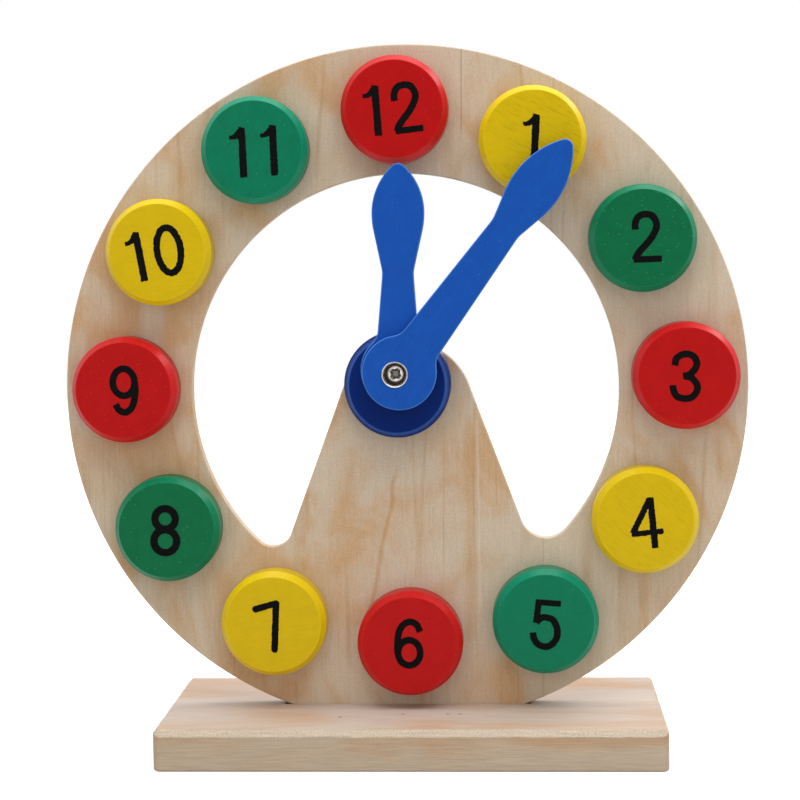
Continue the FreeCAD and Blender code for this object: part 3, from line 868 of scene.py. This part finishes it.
def platedSteel(name, look):
    # nickel plate is bright and a little uneven; in the hollows painted shade darkens and browns it, and it
    # is made rougher
    material, tree = emptyMaterial(name)
    place = addNode(tree, "TexCoord").outputs["Object"]
    shadedHollow = addNode(tree, "Attribute", {"attribute_name": "shadedHollow"}).outputs["Fac"]
    patch = addNode(tree, "TexNoise", {"Scale": 1 / (plating["patchSize"] * mm), "Detail": 3.0},
        {"Vector": place})
    scratch = addNode(tree, "Mapping", {"Scale": plating["stretch"], "Rotation": plating["turn"]},
        {"Vector": place})
    lines = addNode(tree, "TexNoise", {"Scale": 1 / (plating["scratchSize"] * mm)}, {"Vector": scratch})
    bright = addNode(tree, "Mix:RGBA", {6: look["plate"], 7: look["dull"]}, {0: patch})
    colour = addNode(tree, "Mix:RGBA", {7: look["shadedHollow"]}, {0: shadedHollow, 6: bright})
    clean = addNode(tree, "MapRange", {"To Min": look["smooth"],
        "To Max": look["smooth"] + plating["uneven"]}, {"Value": lines})
    rough = addNode(tree, "Math:MULTIPLY_ADD", {1: 0.2}, {0: shadedHollow, 2: clean})
    bump = addNode(tree, "Bump", {"Strength": 0.3, "Distance": 0.01 * mm}, {"Height": lines})
    shader = addNode(tree, "BsdfPrincipled", {"Metallic": 1.0},
        {"Base Color": colour, "Roughness": rough, "Normal": bump})
    addNode(tree, "OutputMaterial", None, {"Surface": shader})
    return material


nickel = platedSteel("brightNickelPlate", {"plate": "DCDBDC", "dull": "BDBBBC", "shadedHollow": "706460",
    "smooth": 0.14})
zinc = platedSteel("zincPlatedSteel", {"plate": "F2F0EC", "dull": "DCD8D2", "shadedHollow": "6A6664",
    "smooth": 0.22})
nylon, tree = emptyMaterial("mouldedNylon")  # milky and smooth, with a faint flow pattern
place = addNode(tree, "TexCoord").outputs["Object"]
flow = addNode(tree, "TexNoise", {"Scale": 1 / (2 * mm), "Distortion": 1.0}, {"Vector": place})
milk = addNode(tree, "Mix:RGBA", {6: "E6E2DA", 7: "D8D3C8"}, {0: flow})
shader = addNode(tree, "BsdfPrincipled", {"Roughness": 0.45, "IOR": 1.53}, {"Base Color": milk})
addNode(tree, "OutputMaterial", None, {"Surface": shader})


def setShadedHollow(piece, hidden):
    # hidden says how much painted shade each point in a hollow gets, from its distance to the axis and its
    # depth
    x, z = pivot["place"]
    pointAttribute(piece, "shadedHollow", [hidden(math.hypot(v.co.x / mm - x, v.co.z / mm - z), v.co.y / mm)
        for v in piece.data.vertices])


rim, barrel, hole, inside = pivot["rim"], pivot["barrel"], pivot["hole"], pivot["inside"]
back, front, seat = pivot["back"], pivot["front"], pivot["back"] - pivot["floor"]
rimBack = front + pivot["rimThickness"]
cup = turnedPiece("pivotCup", [
    (hole, back), (barrel, back), (barrel, rimBack), (rim - 0.05, rimBack),
    (rim, rimBack - 0.06), (rim, front + 0.12), (rim - 0.05, front + 0.03), (rim - 0.14, front),
    (rim - 0.32, front), (rim - 0.43, front + 0.1), (inside + 0.1, front + 0.35), (inside, front + 0.7),
    (inside, front + 2.0), (inside, seat - 0.4), (inside - 0.15, seat - 0.1), (inside - 0.5, seat),
    (hole, seat),
], pivot["place"], closed=True)


def cupShadedHollow(radius, depth):
    # painted shade on the cup's inside wall, darker further in
    return min(1.0, max(0.0, (depth - front - 0.2) / 1.5)) if radius < inside + 0.02 else 0.0


setShadedHollow(cup, cupShadedHollow)
finishPiece(cup, nickel, "stand", "plated_steel", "pivot_cup")

head, shank, headFront = pivot["head"], pivot["shank"], seat - pivot["headHeight"]
screwEnd = measure("pivot_screw")[2]
screw = turnedPiece("pivotScrew", [
    (0, screwEnd), (1.2, screwEnd), (shank, screwEnd - 0.3), (shank, seat), (head - 0.05, seat),
    (head, seat - 0.06), (head, seat - 1.6), (head - 0.04, seat - 1.72), (head - 0.14, seat - 1.82),
    (head - 0.34, seat - 1.88), (head - 0.7, headFront), (0, headFront),
], pivot["place"], 72)
bm = bmesh.new()
ends = []
for depth, (width, reach) in ((headFront - 0.4, pivot["crossMouth"]),
        (headFront + pivot["crossDepth"], pivot["crossFloor"])):
    ring = []
    for quarter in range(4):
        for across, up in ((-width, reach), (width, reach), (width, width)):
            x, z = turned(across, up, -90 * quarter - pivot["crossTurn"])
            x, z = pivot["place"][0] + x, pivot["place"][1] + z
            ring.append(bm.verts.new((x * mm, depth * mm, z * mm)))
    ends.append(ring)
for i in range(12):
    bm.faces.new((ends[0][i - 1], ends[0][i], ends[1][i], ends[1][i - 1]))
bm.faces.new(ends[0])
bm.faces.new(ends[1])
cutter = meshPiece("crossCutter", bm)
recess = screw.modifiers.new("cross recess", "BOOLEAN")
recess.object, recess.operation, recess.solver = cutter, "DIFFERENCE", "EXACT"
screw.modifiers.move(1, 0)
bpy.context.view_layer.update()
cutMesh = bpy.data.meshes.new_from_object(screw.evaluated_get(bpy.context.evaluated_depsgraph_get()))
screw.modifiers.remove(recess)
bpy.data.objects.remove(cutter)
screw.data = cutMesh
screw.data.set_sharp_from_angle(angle=crease)
# painted shade down in the cross recess
setShadedHollow(screw, lambda radius, depth: 0.8 if radius < 2.0 and depth > headFront + 0.2 else 0.0)
finishPiece(screw, zinc, "stand", "plated_steel", "pivot_screw")

place, _, back, front = measure("hand_washer")
bore, outer = pivot["washerBore"], pivot["washer"]
washer = turnedPiece("handWasher", [
    (bore + 0.05, back), (outer - 0.06, back), (outer, back - 0.06), (outer, front + 0.06),
    (outer - 0.06, front), (bore + 0.05, front), (bore, front + 0.05), (bore, back - 0.05),
], pivot["place"], 72, closed=True)
finishPiece(washer, nylon, "stand", "washer_nylon", "hand_washer")
print("pivot made")


# Floor and light
studio = {
    "floor": 3000.0,
    "aim": (0, 0, 100),  # every lamp looks at the middle of the clock
    "lamps": {  # place, size, power, colour
        "overhead": ((80, -180, 1200), 1400, 19.2, (0.97, 0.98, 1.0)),
        "rearRight": ((850, 420, 950), 400, 4.0, (1.0, 1.0, 1.0)),
        "leftFill": ((-800, -1250, 650), 900, 2.95, (1.0, 0.97, 0.93)),
        "rightFill": ((800, -1250, 650), 900, 2.95, (1.0, 0.97, 0.93)),
        "rearFill": ((0, 1200, 500), 1200, 2.6, (1.0, 1.0, 1.0)),
    },
    "world": (0.25, 0.42),  # ambient from in front of the dial and from behind it
    "gloss": (0.7, 1.2),  # what gloss shows: the room in front of the dial, the white behind it
    "paper": "CAC8C4", "glow": (0.25, 0.75),  # the floor's own light in gloss, and to the eye
}
bm = bmesh.new()
half = studio["floor"] / 2 * mm
bm.faces.new([bm.verts.new((x, y, 0)) for x, y in ((-half, -half), (half, -half), (half, half),
    (-half, half))])
floor = meshPiece("floor", bm)
paper, tree = emptyMaterial("whitePaperSweep")
path = addNode(tree, "LightPath")
seen = addNode(tree, "Math:MAXIMUM", None,
    {0: path.outputs["Is Camera Ray"], 1: path.outputs["Is Glossy Ray"]})
matt = addNode(tree, "BsdfPrincipled", {"Base Color": studio["paper"], "Roughness": 0.9})
strength = addNode(tree, "Math:MULTIPLY_ADD",
    {1: studio["glow"][1] - studio["glow"][0], 2: studio["glow"][0]}, {0: path.outputs["Is Camera Ray"]})
glow = addNode(tree, "Emission", {"Color": (1, 1, 1, 1)}, {"Strength": strength})
both = addNode(tree, "AddShader", None, {0: matt, 1: glow})
mix = addNode(tree, "MixShader", None, {0: seen, 1: matt, 2: both})
addNode(tree, "OutputMaterial", None, {"Surface": mix})
floor.data.materials.append(paper)

world = bpy.data.worlds.new("studio")
world.use_nodes = True
tree = world.node_tree
tree.nodes.clear()
path = addNode(tree, "LightPath")
seen = addNode(tree, "Math:MAXIMUM", None,
    {0: path.outputs["Is Camera Ray"], 1: path.outputs["Is Transmission Ray"]})
# gloss shows the white studio too, and the darker room in front of the dial
direction = addNode(tree, "TexCoord")
axes = addNode(tree, "SeparateXYZ", None, {0: direction.outputs["Generated"]})
room = addNode(tree, "MapRange", {"From Min": -1.0, "From Max": -0.2, "To Min": studio["gloss"][0],
    "To Max": studio["gloss"][1]}, {"Value": axes.outputs[1]})
backdrop = addNode(tree, "Background", {"Color": (1, 1, 1, 1)})
mirrored = addNode(tree, "Background", {"Color": (1, 1, 1, 1)}, {"Strength": room})
around = addNode(tree, "MapRange", {"From Min": -0.6, "From Max": 0.6, "To Min": studio["world"][0],
    "To Max": studio["world"][1]}, {"Value": axes.outputs[1]})
ambient = addNode(tree, "Background", {"Color": (1, 1, 1, 1)}, {"Strength": around})
gloss = addNode(tree, "MixShader", None, {0: path.outputs["Is Glossy Ray"], 1: ambient, 2: mirrored})
mix = addNode(tree, "MixShader", None, {0: seen, 1: gloss, 2: backdrop})
addNode(tree, "OutputWorld", None, {"Surface": mix})
scene.world = world

for name, (place, size, power, colour) in studio["lamps"].items():
    data = bpy.data.lights.new(name, "AREA")
    data.energy, data.color, data.size = power, colour, size * mm
    light = bpy.data.objects.new(name, data)
    light.location = Vector(place) * mm
    aim = Vector(studio["aim"]) * mm - light.location
    light.rotation_euler = aim.to_track_quat("-Z", "Y").to_euler()
    scene.collection.objects.link(light)
scene.view_settings.view_transform = "Standard"
print("studio lit")
